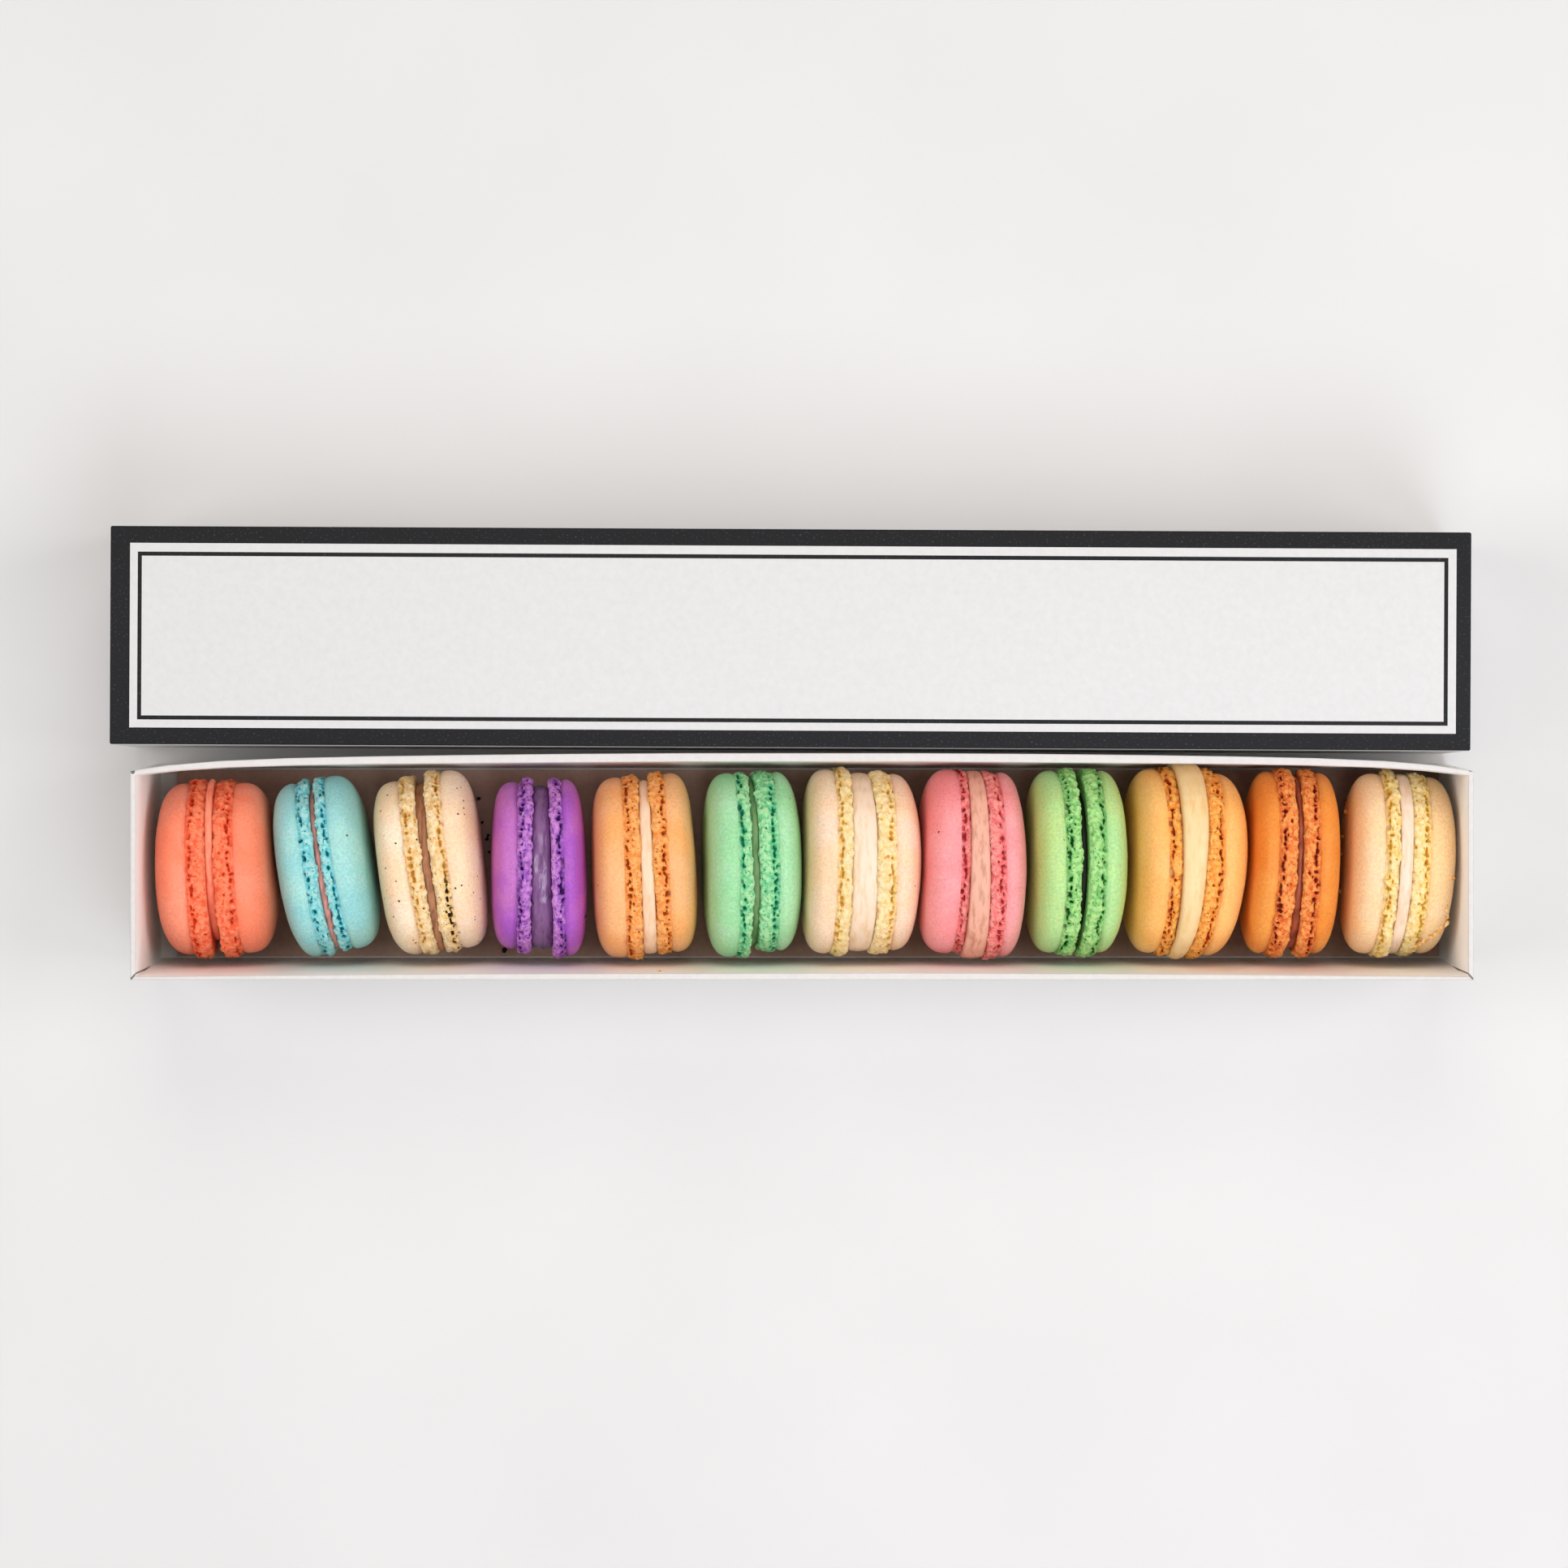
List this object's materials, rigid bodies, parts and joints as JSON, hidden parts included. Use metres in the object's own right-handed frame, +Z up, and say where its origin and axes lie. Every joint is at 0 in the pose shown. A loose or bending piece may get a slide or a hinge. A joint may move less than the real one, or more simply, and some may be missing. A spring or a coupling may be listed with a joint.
{
  "type": "box of macarons",
  "caption": "Row of coloured sandwich macarons on edge in a long open paperboard tray, with its bordered lift-off lid lying behind it.",
  "frame": {"origin": "on the table, under the middle of the group of tray and lid", "axes": "+X along the box, from the coral macaron to the peach one; +Y across, from the tray towards the lid behind it; +Z up"},
  "size_m": [0.31, 0.1034, 0.05],
  "materials": {
    "tray_board": "matt white paperboard, double walls rolled over at the rim",
    "base_card": "matt warm white card",
    "lid_board": "satin coated paperboard, charcoal border with a thin inner line, plain pale field",
    "shell_coral": "matt baked almond meringue, smooth dome and porous ruffled foot",
    "filling_coral": "satin cream filling",
    "shell_aqua": "matt baked almond meringue, smooth dome and porous ruffled foot",
    "filling_aqua": "satin cream filling",
    "shell_vanilla": "matt baked almond meringue, smooth dome and porous ruffled foot",
    "filling_vanilla": "satin cream filling",
    "shell_violet": "matt baked almond meringue, smooth dome and porous ruffled foot",
    "filling_violet": "satin cream filling",
    "shell_apricot": "matt baked almond meringue, smooth dome and porous ruffled foot",
    "filling_apricot": "satin cream filling",
    "shell_mint": "matt baked almond meringue, smooth dome and porous ruffled foot",
    "filling_mint": "satin cream filling",
    "shell_cream": "matt baked almond meringue, smooth dome and porous ruffled foot",
    "filling_cream": "satin cream filling",
    "shell_rose": "matt baked almond meringue, smooth dome and porous ruffled foot",
    "filling_rose": "satin cream filling",
    "shell_pistachio": "matt baked almond meringue, smooth dome and porous ruffled foot",
    "filling_pistachio": "satin cream filling",
    "shell_golden": "matt baked almond meringue, smooth dome and porous ruffled foot",
    "filling_golden": "satin cream filling",
    "shell_orange": "matt baked almond meringue, smooth dome and porous ruffled foot",
    "filling_orange": "satin cream filling",
    "shell_peach": "matt baked almond meringue, smooth dome and porous ruffled foot",
    "filling_peach": "satin cream filling"
  },
  "bodies": {
    "root": {"tray": "tray_board", "base_card": "base_card", "lid": "lid_board", "macaron_01_left_shell": "shell_coral", "macaron_01_right_shell": "shell_coral", "macaron_01_filling": "filling_coral", "macaron_02_left_shell": "shell_aqua", "macaron_02_right_shell": "shell_aqua", "macaron_02_filling": "filling_aqua", "macaron_03_left_shell": "shell_vanilla", "macaron_03_right_shell": "shell_vanilla", "macaron_03_filling": "filling_vanilla", "macaron_04_left_shell": "shell_violet", "macaron_04_right_shell": "shell_violet", "macaron_04_filling": "filling_violet", "macaron_05_left_shell": "shell_apricot", "macaron_05_right_shell": "shell_apricot", "macaron_05_filling": "filling_apricot", "macaron_06_left_shell": "shell_mint", "macaron_06_right_shell": "shell_mint", "macaron_06_filling": "filling_mint", "macaron_07_left_shell": "shell_cream", "macaron_07_right_shell": "shell_cream", "macaron_07_filling": "filling_cream", "macaron_08_left_shell": "shell_rose", "macaron_08_right_shell": "shell_rose", "macaron_08_filling": "filling_rose", "macaron_09_left_shell": "shell_pistachio", "macaron_09_right_shell": "shell_pistachio", "macaron_09_filling": "filling_pistachio", "macaron_10_left_shell": "shell_golden", "macaron_10_right_shell": "shell_golden", "macaron_10_filling": "filling_golden", "macaron_11_left_shell": "shell_orange", "macaron_11_right_shell": "shell_orange", "macaron_11_filling": "filling_orange", "macaron_12_left_shell": "shell_peach", "macaron_12_right_shell": "shell_peach", "macaron_12_filling": "filling_peach"}
  },
  "joints": []
}
